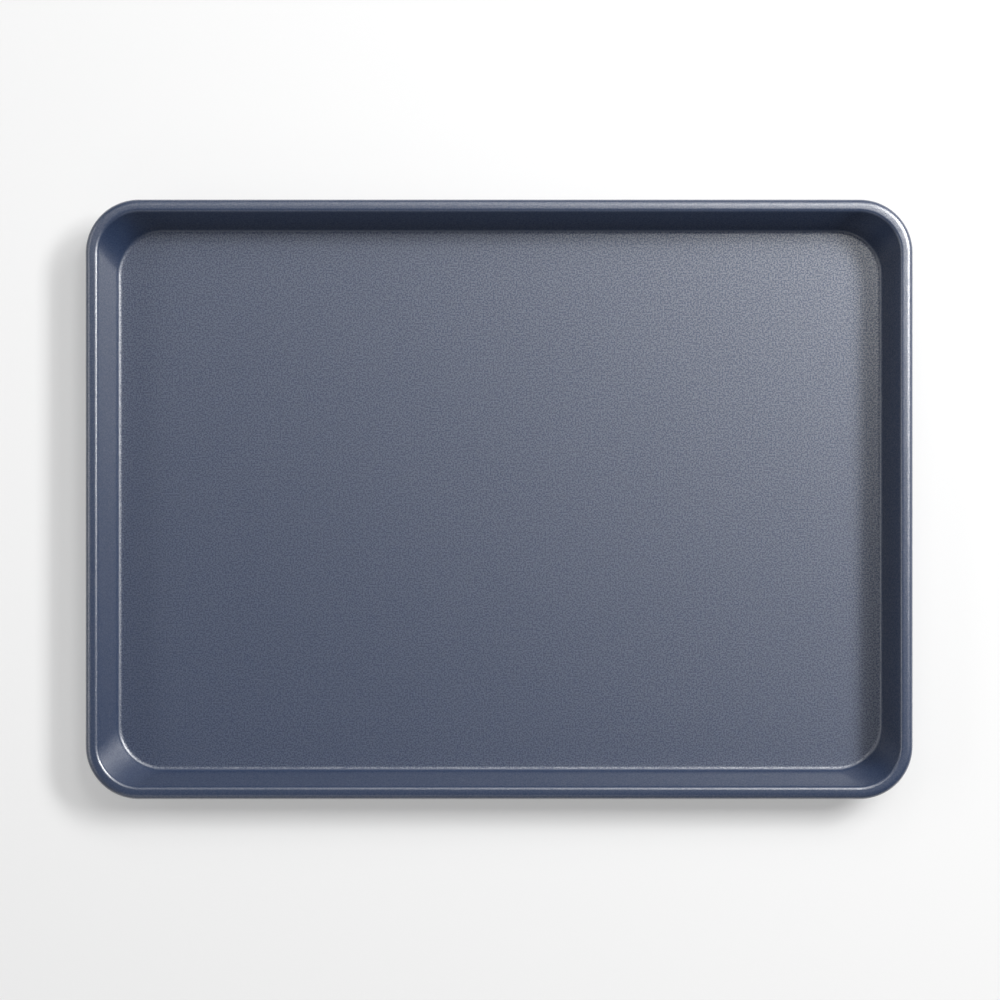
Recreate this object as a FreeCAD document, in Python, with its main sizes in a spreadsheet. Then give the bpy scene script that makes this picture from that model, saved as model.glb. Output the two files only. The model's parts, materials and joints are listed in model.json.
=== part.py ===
import FreeCAD, Part
import math
import os

import Sketcher

# A jelly roll pan: one steel sheet pressed into a shallow tray with flared walls, its rim
# crowned and curled round a loop of wire, and a release coat bonded to the baking side.
# Millimetres, +Z up, origin under the middle of the base, long side along X.

doc = FreeCAD.newDocument("jelly_roll_pan")

# Driving dimensions: lengths in millimetres, angles in degrees
driving = {
    "pan_length": "451",          # over the rim, along X
    "pan_width": "327",           # over the rim, along Y
    "pan_height": "25.4",         # from the table to the crest of the rim
    "sheet_gauge": "0.8",
    "coat_depth": "0.05",
    "rim_corner_radius": "29",    # outer edge of the rim, seen from above
    "floor_corner_radius": "26",  # where wall and floor would meet, seen from above
    "wall_draft": "15",           # lean of the walls from upright
    "floor_bend": "3",            # inside radius between floor and wall
    "shoulder_bend": "1.55",      # underside radius between wall and flange
    "flange_flat": "1.3",         # level strip between shoulder and crown
    "crown_turn": "25",           # how far the flange falls before the bead takes over
    "curl_opening": "75",         # from the free edge of the bead back up to the crest
    "bead_clearance": "1",        # between the bead and the wall behind it
    "wire_diameter": "4",
    "wire_play": "0.1",           # all round, between wire and curl
    "wire_butt_gap": "1",         # between the two ends of the wire
}

# Worked out from them. An inset is measured inwards from the rim's outer edge, and a depth
# from the pan's upper surface into the sheet. The crown's radius is what lets it leave the
# flange level, meet the bead at crown_turn and keep the bead clear of the wall.
worked = {
    "turn_share": "tan((90 - sizes.wall_draft) / 2)",
    "sheet_depth": "sizes.coat_depth + sizes.sheet_gauge",
    "shoulder_radius": "sizes.shoulder_bend + sheet_depth",
    "bead_radius": "sizes.wire_diameter / 2 + sizes.wire_play + sheet_depth",
    "wall_slice": "sheet_depth / cos(sizes.wall_draft)",
    "wall_room": "bead_radius * (1 - tan(sizes.wall_draft)) + sizes.bead_clearance + wall_slice",
    "crown_room": "wall_room - sizes.flange_flat - shoulder_radius * turn_share",
    "crown_fall_share": "(1 - cos(sizes.crown_turn)) * tan(sizes.wall_draft)",
    "crown_gain": "crown_room / (sin(sizes.crown_turn) + crown_fall_share)",
    "crown_radius": "bead_radius + crown_gain",
    "crest_inset": "bead_radius + crown_gain * sin(sizes.crown_turn)",
    "bead_level": "sizes.pan_height - crown_radius + crown_gain * cos(sizes.crown_turn)",
    "curl_turn": "360 - sizes.crown_turn - sizes.curl_opening",
    "mouth_inset": "crest_inset + sizes.flange_flat + shoulder_radius * turn_share",
    "floor_inset": "mouth_inset + (sizes.pan_height - sheet_depth) * tan(sizes.wall_draft)",
}


def fill_sheet(name, rows, sign):
    sheet = doc.addObject("Spreadsheet::Sheet", name)
    for number, (alias, text) in enumerate(rows.items(), start=1):
        sheet.set(f"A{number}", alias)
        sheet.set(f"B{number}", sign + text)
        sheet.setAlias(f"B{number}", alias)
        doc.recompute()
    return sheet


fill_sheet("sizes", driving, "")
layout = fill_sheet("layout", worked, "=")


def worth(expression):
    """Present value of an expression on the two sheets."""
    return float(layout.evalExpression(expression))


# Sketching


def flat_point(x, y):
    return FreeCAD.Vector(x, y, 0)


def circle(middle, radius):
    return Part.Circle(middle, FreeCAD.Vector(0, 0, 1), radius)


def new_sketch(body, role, name, lift="0"):
    """Sketch on one of the body's origin planes, lifted along the plane's normal."""
    plane = next(item for item in body.Origin.OriginFeatures if item.Role == role)
    sketch = body.newObject("Sketcher::SketchObject", name)
    sketch.AttachmentSupport = [(plane, "")]
    sketch.MapMode = "FlatFace"
    sketch.setExpression("AttachmentOffset.Base.z", lift)
    return sketch


def relate(sketch, kind, *places):
    sketch.addConstraint(Sketcher.Constraint(kind, *places))


def size(sketch, name, expression, kind, *places):
    """Dimension of a sketch, bound to the sheets."""
    value = worth(expression)
    if kind == "Angle":
        value = math.radians(value)
    index = sketch.addConstraint(Sketcher.Constraint(kind, *places, value))
    sketch.renameConstraint(index, name)
    sketch.setExpression(f"Constraints.{name}", expression)


def rounded_outline(body, name, level, inset, radius):
    """Level rounded rectangle, an inset in from the rim's outer edge."""
    sketch = new_sketch(body, "XY_Plane", name, level)
    span = f"sizes.pan_length - 2 * ({inset})"
    breadth = f"sizes.pan_width - 2 * ({inset})"
    across = worth(f"({span}) / 2 - ({radius})")
    along = worth(f"({breadth}) / 2 - ({radius})")
    middles = [(across, along), (-across, along), (-across, -along), (across, -along)]
    quarter = math.pi / 2
    for turn, (x, y) in enumerate(middles):
        bend = circle(flat_point(x, y), worth(radius))
        sketch.addGeometry(Part.ArcOfCircle(bend, turn * quarter, (turn + 1) * quarter))
    for turn in range(len(middles)):
        following = (turn + 1) % len(middles)
        run = Part.LineSegment(sketch.getPoint(turn, 2), sketch.getPoint(following, 1))
        side = sketch.addGeometry(run)
        relate(sketch, "Tangent", turn, 2, side, 1)
        relate(sketch, "Tangent", side, 2, following, 1)
        relate(sketch, "Vertical" if turn % 2 else "Horizontal", side)
    for turn in range(1, len(middles)):
        relate(sketch, "Equal", 0, turn)
    relate(sketch, "Symmetric", 0, 3, 2, 3, -1, 1)
    size(sketch, "corner", radius, "Radius", 0)
    size(sketch, "span", span, "DistanceX", 1, 2, 0, 1)
    size(sketch, "breadth", breadth, "DistanceY", 2, 2, 1, 1)
    return sketch


def rim_outline(body, name, level, inset):
    """Rounded rectangle whose corners share their middles with the rim's."""
    return rounded_outline(body, name, level, inset, f"sizes.rim_corner_radius - ({inset})")


def curl_section(body, upper, lower):
    """Crown and bead of one layer of the rim, cut across at the middle of the right side."""
    sketch = new_sketch(body, "XZ_Plane", "curl_section")
    crown_x = "sizes.pan_length / 2 - layout.crest_inset"
    crown_z = "sizes.pan_height - layout.crown_radius"
    crown_middle = flat_point(worth(crown_x), worth(crown_z))
    bead_x = worth("sizes.pan_length / 2 - layout.bead_radius")
    bead_middle = flat_point(bead_x, worth("layout.bead_level"))
    upright = math.pi / 2
    hand_over = upright - math.radians(worth("sizes.crown_turn"))
    free_edge = hand_over - math.radians(worth("layout.curl_turn"))
    for depth in (upper, lower):
        crown = circle(crown_middle, worth(f"layout.crown_radius - ({depth})"))
        bead = circle(bead_middle, worth(f"layout.bead_radius - ({depth})"))
        sketch.addGeometry(Part.ArcOfCircle(crown, hand_over, upright))
        sketch.addGeometry(Part.ArcOfCircle(bead, free_edge, hand_over))
    crown_top, bead_top, crown_under, bead_under = range(sketch.GeometryCount)
    root = sketch.addGeometry(
        Part.LineSegment(sketch.getPoint(crown_under, 2), sketch.getPoint(crown_top, 2)))
    tip = sketch.addGeometry(
        Part.LineSegment(sketch.getPoint(bead_top, 1), sketch.getPoint(bead_under, 1)))
    relate(sketch, "Tangent", bead_top, 2, crown_top, 1)
    relate(sketch, "Tangent", bead_under, 2, crown_under, 1)
    relate(sketch, "Coincident", crown_top, 3, crown_under, 3)
    relate(sketch, "Coincident", bead_top, 3, bead_under, 3)
    relate(sketch, "Coincident", root, 1, crown_under, 2)
    relate(sketch, "Coincident", root, 2, crown_top, 2)
    relate(sketch, "Coincident", tip, 1, bead_top, 1)
    relate(sketch, "Coincident", tip, 2, bead_under, 1)
    relate(sketch, "Vertical", root)
    relate(sketch, "Vertical", crown_top, 3, crown_top, 2)
    relate(sketch, "PointOnObject", bead_top, 3, tip)
    size(sketch, "crown", f"layout.crown_radius - ({upper})", "Radius", crown_top)
    size(sketch, "bead", f"layout.bead_radius - ({upper})", "Radius", bead_top)
    size(sketch, "depth", f"({lower}) - ({upper})", "Distance", root)
    size(sketch, "fall", "sizes.crown_turn", "Angle", crown_top)
    size(sketch, "wrap", "layout.curl_turn", "Angle", bead_top)
    size(sketch, "reach", crown_x, "DistanceX", -1, 1, crown_top, 3)
    size(sketch, "level", crown_z, "DistanceY", -1, 1, crown_top, 3)
    return sketch


# Features


def feature(body, kind, name, **settings):
    made = body.newObject(f"PartDesign::{kind}", name)
    for key, value in settings.items():
        setattr(made, key, value)
    return made


def level_loop(shape, level, facing, inside):
    """Names of the edges round a level face: round its hole, or round its outside."""
    flush = 1e-6
    for face in shape.Faces:
        if abs(face.CenterOfMass.z - level) > flush or face.normalAt(0, 0).z * facing < 1 - flush:
            continue
        holes = [wire for wire in face.Wires if not wire.isSame(face.OuterWire)]
        loop = holes[0] if inside else face.OuterWire
        return [
            f"Edge{number}"
            for number, edge in enumerate(shape.Edges, start=1)
            if any(edge.isSame(other) for other in loop.Edges)
        ]
    raise ValueError(f"no level face at height {level}")


def round_off(body, name, level, facing, inside, radius):
    """Fillet round the loop of a level face that faces up (1) or down (-1)."""
    doc.recompute()
    before = body.Tip
    edges = level_loop(before.Shape, worth(level), facing, inside)
    fillet = feature(body, "Fillet", name, Base=(before, edges))
    fillet.setExpression("Radius", radius)


# Sub-parts


def press_layer(label, upper, lower):
    """One layer of the pressed sheet, between two depths below the pan's upper surface."""
    body = doc.addObject("PartDesign::Body", label)

    def floor_level(depth):
        return f"layout.sheet_depth - ({depth})"

    def rim_level(depth):
        return f"sizes.pan_height - ({depth})"

    def walls(kind, name, depth):
        spread = f"({depth}) * layout.turn_share"
        floor = rounded_outline(body, f"{name}_floor", floor_level(depth),
                                f"layout.floor_inset - {spread}", f"sizes.floor_corner_radius + {spread}")
        mouth = rim_outline(body, f"{name}_mouth", rim_level(depth), f"layout.mouth_inset - {spread}")
        return feature(body, kind, name, Profile=floor, Sections=[mouth], Ruled=True)

    # Tray with the flange round its mouth, then its hollow
    walls("AdditiveLoft", "tray", lower)
    crest = rim_outline(body, "crest", rim_level(lower), "layout.crest_inset")
    flange = feature(body, "Pad", "flange", Profile=crest)
    flange.setExpression("Length", f"({lower}) - ({upper})")
    walls("SubtractiveLoft", "hollow", upper)

    # Bends, each with one middle for both faces of the layer
    round_off(body, "floor_inside", floor_level(upper), 1, False, f"sizes.floor_bend + ({upper})")
    round_off(body, "floor_outside", floor_level(lower), -1, False, f"sizes.floor_bend + ({lower})")
    round_off(body, "shoulder_top", rim_level(upper), 1, True, f"layout.shoulder_radius - ({upper})")
    round_off(body, "shoulder_under", rim_level(lower), -1, True, f"layout.shoulder_radius - ({lower})")

    # Rim, carried out from the flange and round the wire
    section = curl_section(body, upper, lower)
    path = rim_outline(body, "curl_path", rim_level("0"), "layout.crest_inset")
    feature(body, "AdditivePipe", "curl", Profile=section, Spine=path)
    return body


def wire_loop(label):
    """Round wire that lies in the curl, bent to the rim's corners and butted at the back."""
    body = doc.addObject("PartDesign::Body", label)
    section = new_sketch(body, "XZ_Plane", "wire_section")
    middle = flat_point(worth("sizes.pan_length / 2 - layout.bead_radius"), worth("layout.bead_level"))
    ring = section.addGeometry(circle(middle, worth("sizes.wire_diameter / 2")))
    size(section, "thickness", "sizes.wire_diameter", "Diameter", ring)
    size(section, "reach", "sizes.pan_length / 2 - layout.bead_radius", "DistanceX", -1, 1, ring, 3)
    size(section, "level", "layout.bead_level", "DistanceY", -1, 1, ring, 3)
    path = rim_outline(body, "wire_path", "layout.bead_level", "layout.bead_radius")
    feature(body, "AdditivePipe", "wire", Profile=section, Spine=path)

    # Butt gap at the middle of the back, as wide as the cut and as deep as the rim
    cut = new_sketch(body, "XY_Plane", "butt_cut", "layout.bead_level")
    half_gap = worth("sizes.wire_butt_gap / 2")
    back = worth("sizes.pan_width / 2")
    front = worth("sizes.pan_width / 2 - 2 * layout.bead_radius")
    corners = [(-half_gap, front), (half_gap, front), (half_gap, back), (-half_gap, back)]
    points = [flat_point(x, y) for x, y in corners]
    for turn, start in enumerate(points):
        cut.addGeometry(Part.LineSegment(start, points[(turn + 1) % len(points)]))
    for turn in range(len(points)):
        relate(cut, "Coincident", turn, 2, (turn + 1) % len(points), 1)
    relate(cut, "Symmetric", 0, 1, 0, 2, -2)
    relate(cut, "Vertical", 1)
    relate(cut, "Horizontal", 2)
    relate(cut, "Vertical", 3)
    size(cut, "gap", "sizes.wire_butt_gap", "DistanceX", 0, 1, 0, 2)
    size(cut, "back", "sizes.pan_width / 2", "DistanceY", -1, 1, 2, 1)
    size(cut, "depth", "2 * layout.bead_radius", "DistanceY", 1, 1, 1, 2)
    butt = feature(body, "Pocket", "butt", Profile=cut, SideType="Symmetric")
    butt.setExpression("Length", "2 * layout.bead_radius")
    return body


pieces = [
    press_layer("pan_sheet", "sizes.coat_depth", "layout.sheet_depth"),
    press_layer("release_coat", "0", "sizes.coat_depth"),
    wire_loop("rim_wire"),
]
doc.recompute()

# Nothing is written unless every feature is sound
failed = [item.Label for item in doc.Objects if {"Invalid", "Error"} & set(item.State)]
if failed:
    raise RuntimeError(f"failed features: {failed}")
for piece in pieces:
    if piece.Shape.isNull() or not piece.Shape.isValid() or len(piece.Shape.Solids) != 1:
        raise RuntimeError(f"{piece.Label} is not one sound solid")

os.makedirs("parts", exist_ok=True)
for piece in pieces:
    piece.Shape.exportStep(f"parts/{piece.Label}.step")
    print(f"{piece.Label}: {piece.Shape.Volume:.1f} mm3, {len(piece.Shape.Faces)} faces")
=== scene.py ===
import json
import math

import bpy
from mathutils import Matrix, Vector

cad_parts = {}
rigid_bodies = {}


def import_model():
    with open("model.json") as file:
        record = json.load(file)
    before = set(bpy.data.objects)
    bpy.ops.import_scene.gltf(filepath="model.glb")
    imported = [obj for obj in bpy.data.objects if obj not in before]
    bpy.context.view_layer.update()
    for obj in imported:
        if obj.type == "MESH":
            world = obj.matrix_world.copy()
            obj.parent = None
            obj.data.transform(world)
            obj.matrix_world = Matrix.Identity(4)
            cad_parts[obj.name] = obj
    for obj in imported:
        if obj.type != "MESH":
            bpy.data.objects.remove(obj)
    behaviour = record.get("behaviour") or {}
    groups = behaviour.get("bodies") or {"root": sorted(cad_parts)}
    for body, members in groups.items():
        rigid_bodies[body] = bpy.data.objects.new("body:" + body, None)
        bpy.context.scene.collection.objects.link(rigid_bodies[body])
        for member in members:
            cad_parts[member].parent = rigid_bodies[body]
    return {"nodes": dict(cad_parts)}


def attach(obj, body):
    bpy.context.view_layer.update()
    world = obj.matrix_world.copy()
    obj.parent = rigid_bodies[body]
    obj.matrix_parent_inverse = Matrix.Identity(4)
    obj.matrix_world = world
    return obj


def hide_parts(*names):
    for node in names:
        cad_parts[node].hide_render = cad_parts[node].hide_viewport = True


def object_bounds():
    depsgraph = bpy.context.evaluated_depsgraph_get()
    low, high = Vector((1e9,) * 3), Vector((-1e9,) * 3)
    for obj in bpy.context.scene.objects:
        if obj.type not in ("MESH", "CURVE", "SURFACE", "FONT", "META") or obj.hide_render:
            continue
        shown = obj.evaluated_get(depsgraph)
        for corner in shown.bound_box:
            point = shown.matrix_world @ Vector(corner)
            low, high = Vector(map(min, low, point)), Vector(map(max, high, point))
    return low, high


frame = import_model()
cadLow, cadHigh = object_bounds()
print("frame loaded:", sorted(frame["nodes"]))

mm = 0.001
diagonal = math.sqrt(2)

# the pressed pan in mm: insets run in from the rim's outer edge, depths down from the upper face
pan = {
    "length": (cadHigh.x - cadLow.x) / mm,
    "width": (cadHigh.y - cadLow.y) / mm,
    "height": (cadHigh.z - cadLow.z) / mm,
    "sheetGauge": 0.8,
    "coatDepth": 0.05,
    "rimCorner": 29,         # outer edge, seen from above
    "floorCorner": 26,       # where wall and floor would meet
    "wallDraft": math.radians(15),
    "floorBend": 3,          # inside radius, floor to wall
    "shoulderBend": 1.55,    # underside radius, wall to flange
    "flangeFlat": 1.3,
    "crownTurn": math.radians(25),
    "curlOpening": math.radians(75),
    "beadClearance": 1,      # bead to the wall behind it
    "wireDiameter": 4,
    "wirePlay": 0.1,
    "cornerSteps": 28,       # faces round a quarter turn
    "cornerProfile": 0.5,    # round, and not cut off
    "bendSteps": 10,
    "wallSteps": 4,
    "crownSteps": 8,
    "beadSteps": 30,
    "bridgeLift": 12,        # holds a new outline clear of the last one
    "smoothUnder": math.radians(40),
}


# the rim's own sizes, which follow from the wire and the clearance
def workOutRim(p):
    rim = {}
    lean = math.tan(p["wallDraft"])
    rim["turnShare"] = math.tan((math.pi / 2 - p["wallDraft"]) / 2)
    rim["sheetDepth"] = p["coatDepth"] + p["sheetGauge"]
    rim["shoulderRadius"] = p["shoulderBend"] + rim["sheetDepth"]
    rim["beadRadius"] = p["wireDiameter"] / 2 + p["wirePlay"] + rim["sheetDepth"]
    wallSlice = rim["sheetDepth"] / math.cos(p["wallDraft"])
    wallRoom = rim["beadRadius"] * (1 - lean) + p["beadClearance"] + wallSlice
    crownRoom = wallRoom - p["flangeFlat"] - rim["shoulderRadius"] * rim["turnShare"]
    crownGain = crownRoom / (math.sin(p["crownTurn"]) + (1 - math.cos(p["crownTurn"])) * lean)
    rim["crownRadius"] = rim["beadRadius"] + crownGain
    rim["crestInset"] = rim["beadRadius"] + crownGain * math.sin(p["crownTurn"])
    rim["beadLevel"] = p["height"] - rim["crownRadius"] + crownGain * math.cos(p["crownTurn"])
    rim["flatInset"] = rim["crestInset"] + p["flangeFlat"]
    rim["mouthInset"] = rim["flatInset"] + rim["shoulderRadius"] * rim["turnShare"]
    rim["wallHeight"] = p["height"] - rim["sheetDepth"]
    rim["floorInset"] = rim["mouthInset"] + rim["wallHeight"] * lean
    return rim


# level outlines of one face of the sheet, from the floor out to the free edge of the curl
def panOutlines(p, depth):
    rim = workOutRim(p)
    turnEnd = math.pi / 2 - p["wallDraft"]
    spread = depth * rim["turnShare"]
    floorLevel = rim["sheetDepth"] - depth
    rimLevel = p["height"] - depth
    floorInset = rim["floorInset"] - spread
    mouthInset = rim["mouthInset"] - spread
    floorCorner = p["floorCorner"] + spread
    mouthCorner = p["rimCorner"] - mouthInset

    def wallCorner(level):
        share = (level - floorLevel) / rim["wallHeight"]
        return floorCorner + share * (mouthCorner - floorCorner)

    # the corners lean further back than the sides, so their bends end elsewhere on the diagonal
    sideRun = floorInset - mouthInset
    cornerRun = sideRun * diagonal + (floorCorner - mouthCorner) * (diagonal - 1)
    cornerTurn = math.tan((math.pi / 2 - math.atan(cornerRun / rim["wallHeight"])) / 2)
    tangentSlip = (rim["turnShare"] - cornerTurn) / (diagonal - 1)

    outlines = []
    floorRadius = p["floorBend"] + depth
    floorEdge = floorInset + floorRadius * rim["turnShare"]
    floorRound = floorCorner - floorRadius * (diagonal * rim["turnShare"] - cornerTurn) / (diagonal - 1)
    bendLevel = floorLevel + floorRadius * (1 - math.cos(turnEnd))
    roundGain = wallCorner(bendLevel) - floorRound
    for step in range(p["bendSteps"] + 1):
        turn = turnEnd * step / p["bendSteps"]
        reach = math.sin(turn) / math.sin(turnEnd)
        level = floorLevel + floorRadius * (1 - math.cos(turn))
        outlines.append((level, floorEdge - floorRadius * math.sin(turn), floorRound + roundGain * reach))

    shoulderRadius = rim["shoulderRadius"] - depth
    shoulderLevel = rimLevel - shoulderRadius * (1 - math.cos(turnEnd))
    for step in range(1, p["wallSteps"]):
        level = bendLevel + (shoulderLevel - bendLevel) * step / p["wallSteps"]
        inset = floorInset - (level - floorLevel) * math.tan(p["wallDraft"])
        outlines.append((level, inset, wallCorner(level)))

    flatRound = p["rimCorner"] - rim["flatInset"] + shoulderRadius * tangentSlip
    roundLoss = flatRound - wallCorner(shoulderLevel)
    for step in range(p["bendSteps"], -1, -1):
        turn = turnEnd * step / p["bendSteps"]
        reach = math.sin(turn) / math.sin(turnEnd)
        level = rimLevel - shoulderRadius * (1 - math.cos(turn))
        inset = rim["flatInset"] + shoulderRadius * math.sin(turn)
        outlines.append((level, inset, flatRound - roundLoss * reach))

    crownRadius = rim["crownRadius"] - depth
    for step in range(p["crownSteps"]):
        turn = p["crownTurn"] * step / p["crownSteps"]
        level = rimLevel - crownRadius * (1 - math.cos(turn))
        inset = rim["crestInset"] - crownRadius * math.sin(turn)
        outlines.append((level, inset, p["rimCorner"] - inset))

    beadRadius = rim["beadRadius"] - depth
    beadTurn = 2 * math.pi - p["crownTurn"] - p["curlOpening"]
    for step in range(p["beadSteps"] + 1):
        turn = p["crownTurn"] + beadTurn * step / p["beadSteps"]
        level = rim["beadLevel"] + beadRadius * math.cos(turn)
        inset = rim["beadRadius"] - beadRadius * math.sin(turn)
        outlines.append((level, inset, p["rimCorner"] - inset))
    return outlines


# a plane scaled to the outline's box, with its four points rounded
def addOutline(p, level, inset, corner):
    bpy.ops.mesh.primitive_plane_add(size=1, location=(0, 0, level))
    span = (p["length"] - 2 * inset, p["width"] - 2 * inset, 1)
    bpy.ops.transform.resize(value=span, center_override=(0, 0, level))
    bpy.ops.mesh.bevel(offset=corner, segments=p["cornerSteps"], profile=p["cornerProfile"],
                       affect="VERTICES", clamp_overlap=False)


def startPiece(name):
    bpy.ops.object.select_all(action="DESELECT")
    bpy.ops.mesh.primitive_plane_add(size=1)
    piece = bpy.context.object
    piece.name = name
    piece.data.name = name
    bpy.ops.object.mode_set(mode="EDIT")
    bpy.ops.mesh.select_all(action="SELECT")
    bpy.ops.mesh.delete(type="VERT")
    bpy.ops.mesh.select_mode(type="EDGE")
    return piece


def applyAll(piece):
    bpy.ops.object.select_all(action="DESELECT")
    piece.select_set(True)
    bpy.context.view_layer.objects.active = piece
    for modifier in list(piece.modifiers):
        bpy.ops.object.modifier_apply(modifier=modifier.name)


def selectOpenEdges():
    bpy.ops.mesh.select_non_manifold(extend=False, use_wire=True, use_boundary=True, use_multi_face=False,
                                     use_non_contiguous=False, use_verts=False)


# one pressed layer: bridge the outlines from the floor outwards, then give it its thickness below
def pressLayer(p, name, upper, thickness):
    piece = startPiece(name)
    outlines = panOutlines(p, upper)
    addOutline(p, *outlines[0])  # keeps its face and is the floor
    for level, inset, corner in outlines[1:]:
        addOutline(p, level + p["bridgeLift"], inset, corner)  # lifted, so that the bridge can't twist
        bpy.ops.mesh.select_linked()
        bpy.ops.mesh.delete(type="ONLY_FACE")
        selectOpenEdges()
        bpy.ops.mesh.bridge_edge_loops()
        selectOpenEdges()
        bpy.ops.transform.translate(value=(0, 0, -p["bridgeLift"]))
    bpy.ops.mesh.select_all(action="SELECT")
    bpy.ops.transform.resize(value=(mm, mm, mm), center_override=(0, 0, 0))
    bpy.ops.object.mode_set(mode="OBJECT")
    layer = piece.modifiers.new("thickness", "SOLIDIFY")
    layer.thickness = thickness * mm
    layer.offset = -1
    layer.use_even_offset = True
    applyAll(piece)
    bpy.ops.object.shade_smooth_by_angle(angle=p["smoothUnder"])
    print(name, len(piece.data.polygons), "faces")
    return piece


panSheet = pressLayer(pan, "panSheet", pan["coatDepth"], pan["sheetGauge"])
releaseCoat = pressLayer(pan, "releaseCoat", 0, pan["coatDepth"])


# a plain material with its node tree to hand
def newMaterial(name):
    material = bpy.data.materials.new(name)
    material.use_nodes = True
    nodes = material.node_tree.nodes
    return material, nodes, material.node_tree.links, nodes["Principled BSDF"]


def mathNode(nodes, links, operation, *values):
    node = nodes.new("ShaderNodeMath")
    node.operation = operation
    for slot, value in enumerate(values):
        if isinstance(value, bpy.types.NodeSocket):
            links.new(value, node.inputs[slot])
        else:
            node.inputs[slot].default_value = value
    return node.outputs["Value"]


def rangeNode(nodes, links, value, start, end, low, high):
    node = nodes.new("ShaderNodeMapRange")
    node.interpolation_type = "SMOOTHSTEP"
    for name, number in (("From Min", start), ("From Max", end), ("To Min", low), ("To Max", high)):
        node.inputs[name].default_value = number
    links.new(value, node.inputs["Value"])
    return node.outputs["Result"]


# noise that swings about zero
def noiseNode(nodes, links, place, size, detail=0, edge=0, middle=0.5):
    node = nodes.new("ShaderNodeTexNoise")
    node.inputs["Scale"].default_value = 1 / size
    node.inputs["Detail"].default_value = detail
    node.inputs["Roughness"].default_value = edge
    links.new(place, node.inputs["Vector"])
    return mathNode(nodes, links, "SUBTRACT", node.outputs["Fac"], middle)


slate = {
    "base": (0.0175, 0.033, 0.077, 1),
    "roughness": 0.32,        # on the floor
    "wallRoughness": 0.18,
    "shine": 0.8,
    "coatIndex": 2.2,         # reflects more than plain paint
    "coatRoughness": 0.38,
    "coatMean": 0.5,          # coat weight, which swings from speck to speck
    "coatSwing": 2.9,
    "speckSize": 0.8 * mm,
    "grainSize": 0.5 * mm,
    "grainLift": 0.17 * mm,
    "grainDetail": 2,
    "grainEdge": 1.0,
    "floorGrain": (1.0 * mm, 2.6 * mm),     # heights: full grain below, the wall's above
    "rimGrain": (22.5 * mm, 24.5 * mm),     # heights: the wall's grain below, the rim's above
    "speckRange": (0.87 * mm, 1.4 * mm),    # heights: full specks below, the wall's above
    "wallGrain": 0.2,         # share of the floor's grain
    "rimGain": 0.3,           # share that the rim has on top of the wall's
    "rimCoat": 0.2,           # coat weight that comes with it
}


# slate blue coat: pebbled on the floor, finer on the rim, nearly smooth on the walls
def slateFinish(name, s):
    material, nodes, links, shader = newMaterial(name)
    place = nodes.new("ShaderNodeTexCoord").outputs["Object"]
    level = nodes.new("ShaderNodeSeparateXYZ")
    links.new(place, level.inputs["Vector"])
    floorShare = rangeNode(nodes, links, level.outputs["Z"], *s["floorGrain"], 1, s["wallGrain"])
    rimShare = rangeNode(nodes, links, level.outputs["Z"], *s["rimGrain"], 0, s["rimGain"])
    share = mathNode(nodes, links, "ADD", floorShare, rimShare)
    grain = noiseNode(nodes, links, place, s["grainSize"], s["grainDetail"], s["grainEdge"])
    bump = nodes.new("ShaderNodeBump")
    bump.inputs["Strength"].default_value = 1
    bump.inputs["Distance"].default_value = s["grainLift"]
    links.new(mathNode(nodes, links, "MULTIPLY", grain, share), bump.inputs["Height"])
    links.new(bump.outputs["Normal"], shader.inputs["Normal"])
    speck = noiseNode(nodes, links, place, s["speckSize"])
    speckShare = rangeNode(nodes, links, level.outputs["Z"], *s["speckRange"], 1, s["wallGrain"])
    swing = mathNode(nodes, links, "MULTIPLY", speck, speckShare)
    mean = mathNode(nodes, links, "MULTIPLY_ADD", rimShare, s["rimCoat"], s["coatMean"])
    weight = mathNode(nodes, links, "MULTIPLY_ADD", swing, s["coatSwing"], mean)
    weight.node.use_clamp = True
    links.new(weight, shader.inputs["Coat Weight"])
    gain = (s["roughness"] - s["wallRoughness"]) / (1 - s["wallGrain"])
    rough = mathNode(nodes, links, "MULTIPLY_ADD", share, gain, s["roughness"] - gain)
    links.new(rough, shader.inputs["Roughness"])
    shader.inputs["Base Color"].default_value = s["base"]
    shader.inputs["Specular IOR Level"].default_value = s["shine"]
    shader.inputs["Coat IOR"].default_value = s["coatIndex"]
    shader.inputs["Coat Roughness"].default_value = s["coatRoughness"]
    return material


steel = {
    "colour": (0.5, 0.5, 0.51, 1),
    "roughness": (0.28, 0.42),
    "drawSize": 0.4 * mm,
    "drawDetail": 2,
    "drawEdge": 0.5,
    "drawRange": (-0.2, 0.2),    # noise from the smoothest to the roughest
}


# plain drawn wire, hidden in the curl
def steelFinish(name, s):
    material, nodes, links, shader = newMaterial(name)
    place = nodes.new("ShaderNodeTexCoord").outputs["Object"]
    draw = noiseNode(nodes, links, place, s["drawSize"], s["drawDetail"], s["drawEdge"])
    rough = rangeNode(nodes, links, draw, *s["drawRange"], *s["roughness"])
    links.new(rough, shader.inputs["Roughness"])
    shader.inputs["Base Color"].default_value = s["colour"]
    shader.inputs["Metallic"].default_value = 1
    return material


slateMaterial = slateFinish("slateCoat", slate)
for piece in (panSheet, releaseCoat):
    piece.data.materials.clear()
    piece.data.materials.append(slateMaterial)
rimWire = frame["nodes"]["rim_wire"]
rimWire.data.materials.clear()
rimWire.data.materials.append(steelFinish("wireSteel", steel))
print("finishes on", panSheet.name, releaseCoat.name, rimWire.name)

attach(panSheet, "root")
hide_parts("pan_sheet")
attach(releaseCoat, "root")
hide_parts("release_coat")

# the camera, in metres from the middle of the pan's base
view = {
    "place": (0.025, -0.025, 1.19),
    "rimScale": 1833.04,             # pixels to a metre at the bead's height
    "imageSide": 1000,               # pixels
    "panMiddle": (499.15, 499.35),   # pixels from the upper left
    "sensor": 36,                    # mm, as the lens is
}


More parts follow.
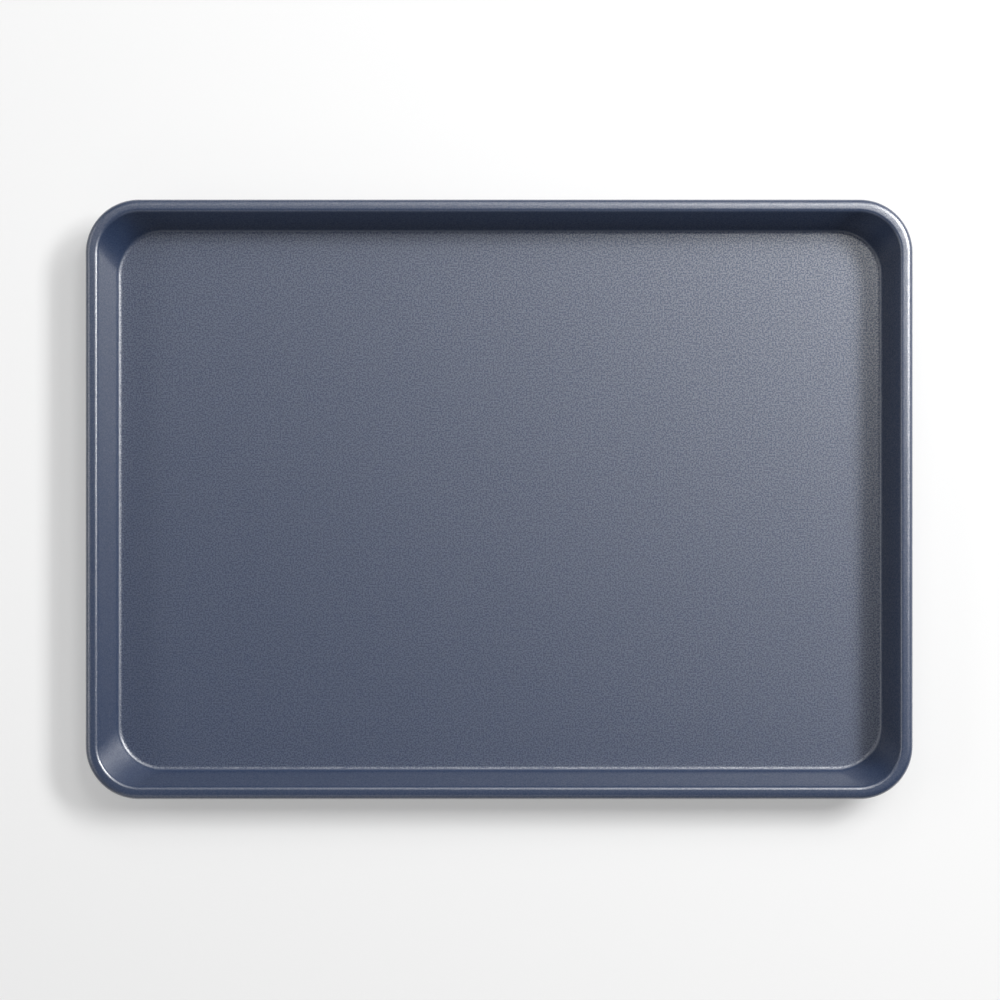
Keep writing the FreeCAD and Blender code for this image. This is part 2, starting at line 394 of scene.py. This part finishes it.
# looks straight down, with the lens shifted so that the rim lies where the photo has it
def addCamera(v):
    rim = workOutRim(pan)
    data = bpy.data.cameras.new("camera")
    camera = bpy.data.objects.new("camera", data)
    bpy.context.scene.collection.objects.link(camera)
    x, y, height = v["place"]
    side = v["imageSide"]
    data.sensor_width = v["sensor"]
    data.lens = v["rimScale"] * (height - rim["beadLevel"] * mm) * v["sensor"] / side
    data.shift_x = (side / 2 - v["panMiddle"][0] - v["rimScale"] * x) / side
    data.shift_y = (v["panMiddle"][1] - side / 2 - v["rimScale"] * y) / side
    camera.location = v["place"]
    bpy.context.scene.camera = camera


# metres from the middle of the pan's base, and watts
lamps = {
    "key": {"place": (1.5, 0.74, 1.5), "length": 0.8, "width": 0.4, "power": 46},
    "fill": {"place": (1.2, 1.2, 1.5), "length": 0.7, "width": 0.4, "power": 16},
    "overhead": {"place": (0.45, 0.72, 1.5), "length": 0.7, "width": 0.4, "power": 8},
    "backLeft": {"place": (-0.5, 0.8, 1.6), "length": 0.6, "width": 0.6, "power": 2},
    "backCard": {"place": (0, 1.5, 1.2), "length": 0.5, "width": 0.8, "power": 3.5},
    "leftCard": {"place": (-1.3, 0.1, 0.9), "length": 1.5, "width": 0.35, "power": 4.5},
    "lowCard": {"place": (-0.35, -1.35, 0.95), "length": 0.35, "width": 1.5, "power": 1.6},
}


# a softbox that faces the pan: its length lies along the pan's short side
def addLamp(name, place, length, width, power):
    data = bpy.data.lights.new(name, "AREA")
    data.shape = "RECTANGLE"
    data.size, data.size_y = length, width
    data.energy = power
    lamp = bpy.data.objects.new(name, data)
    bpy.context.scene.collection.objects.link(lamp)
    lamp.location = place
    away = Vector(place).normalized()
    along = (Vector((0, 1, 0)) - away * away.y).normalized()
    lamp.rotation_euler = Matrix((along, away.cross(along), away)).transposed().to_euler()


studio = {"colour": (1, 1, 1, 1), "strength": 0.1}


# even light from all round
def addSurround(s):
    surround = bpy.data.worlds.new("studio")
    bpy.context.scene.world = surround
    surround.use_nodes = True
    background = surround.node_tree.nodes["Background"]
    background.inputs["Color"].default_value = s["colour"]
    background.inputs["Strength"].default_value = s["strength"]


tableTop = {
    "side": 20,
    "gap": 0.1 * mm,         # under the pan, so that the two faces don't fight
    "grey": (0.45, 0.45, 0.45, 1),
    "roughness": 0.9,
    "glow": (1, 1, 1, 1),
    "glowStrength": 0.345,
}


# a pale table, whose glow is seen but lights nothing
def addTable(t):
    bpy.ops.object.select_all(action="DESELECT")
    bpy.ops.mesh.primitive_plane_add(size=t["side"], location=(0, 0, cadLow.z - t["gap"]))
    table = bpy.context.object
    table.name = "table"
    material, nodes, links, shader = newMaterial("table")
    ray = nodes.new("ShaderNodeLightPath").outputs
    seen = mathNode(nodes, links, "ADD", ray["Is Camera Ray"], ray["Is Glossy Ray"])
    seen = mathNode(nodes, links, "ADD", seen, ray["Is Transmission Ray"])
    glow = mathNode(nodes, links, "MULTIPLY", seen, t["glowStrength"])
    links.new(glow, shader.inputs["Emission Strength"])
    shader.inputs["Emission Color"].default_value = t["glow"]
    shader.inputs["Base Color"].default_value = t["grey"]
    shader.inputs["Roughness"].default_value = t["roughness"]
    shader.inputs["Specular IOR Level"].default_value = 0
    table.data.materials.append(material)
    return table


addCamera(view)
for name, lamp in lamps.items():
    addLamp(name, **lamp)
addSurround(studio)
table = addTable(tableTop)
print("studio set with", len(lamps), "lamps")

bpy.context.scene.view_settings.view_transform = "Standard"
